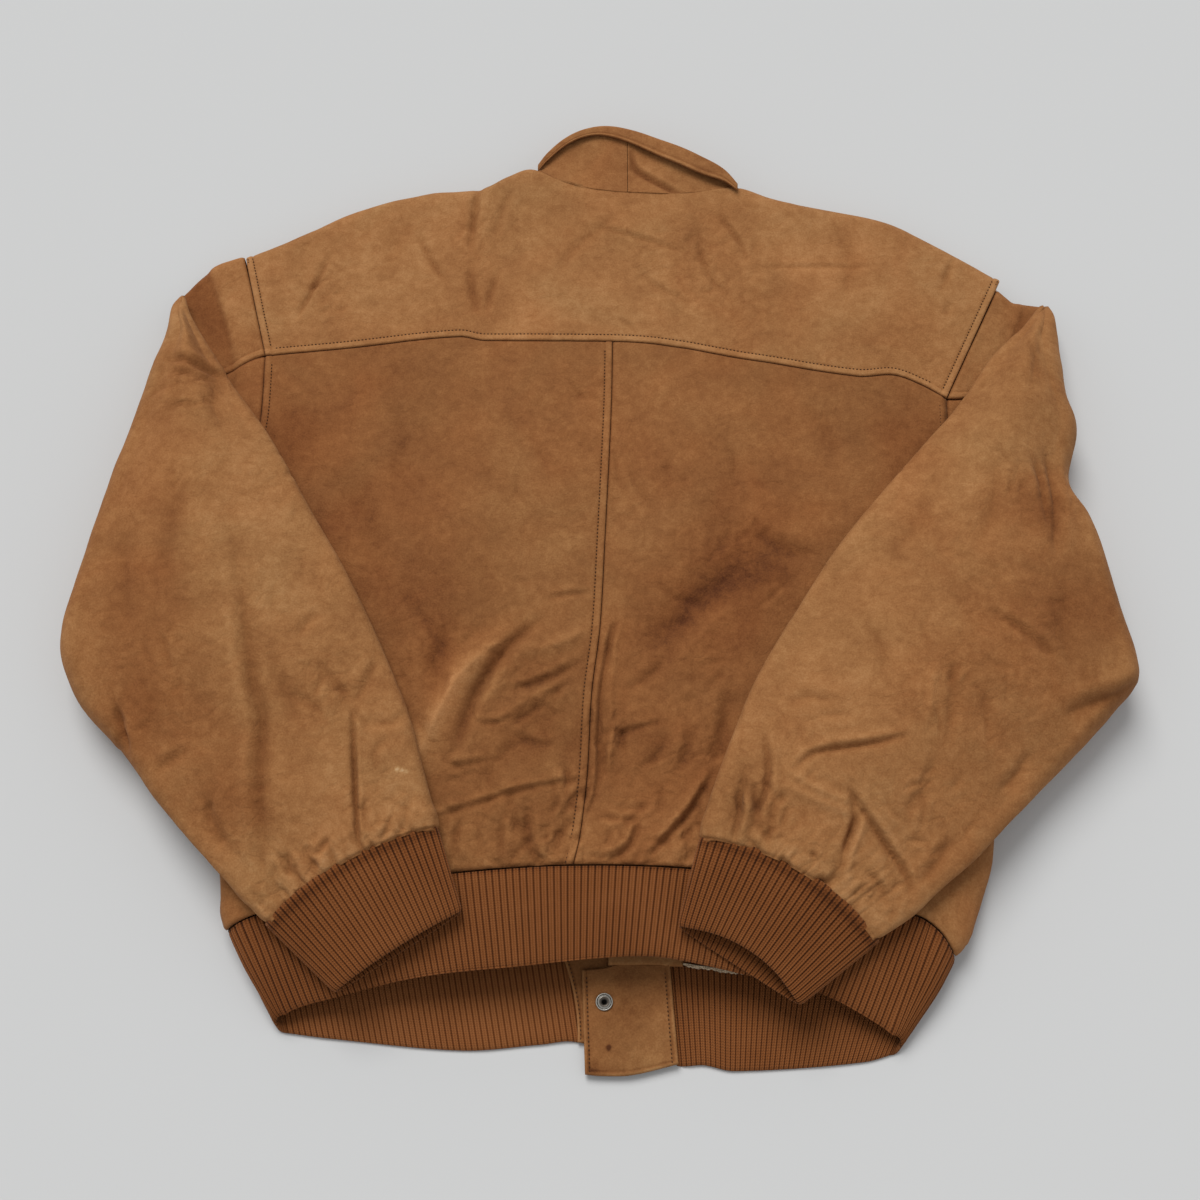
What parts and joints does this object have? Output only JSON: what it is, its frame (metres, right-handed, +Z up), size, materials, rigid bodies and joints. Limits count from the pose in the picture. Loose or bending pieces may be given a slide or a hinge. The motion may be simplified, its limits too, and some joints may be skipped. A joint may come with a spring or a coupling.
{
  "type": "worn leather blouson jacket",
  "caption": "Worn suede leather blouson jacket lying face down, sleeves folded over its back, with ribbed cuffs and an open ribbed hem.",
  "frame": {"origin": "middle of the jacket's outline as it lies, on the surface that it rests on", "axes": "+Z up from the surface, +Y towards the collar, +X to the wearer's right across the back"},
  "size_m": [0.7983, 0.774, 0.0725],
  "materials": {
    "suede": "matte worn nubuck suede, rubbed paler at seams and darker in folds",
    "rib_knit": "matte two-by-two rib knit",
    "inside": "matte folded lining and leather, not seen",
    "interlining": "matte torn fibre",
    "snap_metal": "aged dull metal"
  },
  "bodies": {
    "root": {"back_yoke": "suede", "back_left": "suede", "back_right": "suede", "front_left": "suede", "front_right": "suede", "waistband": "rib_knit", "hem_tab_left": "suede", "hem_tab_right": "suede", "facing_right": "suede", "interlining_edge": "interlining", "snap_back": "snap_metal", "sleeve_left_front": "suede", "sleeve_right_front": "suede", "sleeve_left_shoulder": "suede", "sleeve_right_shoulder": "suede", "sleeve_left_back": "suede", "sleeve_right_back": "suede", "cuff_left": "rib_knit", "cuff_right": "rib_knit", "collar_upper": "suede", "collar_under_left": "suede", "collar_under_right": "suede", "inner_body": "inside", "inner_sleeve_left": "inside", "inner_sleeve_right": "inside"}
  },
  "joints": []
}
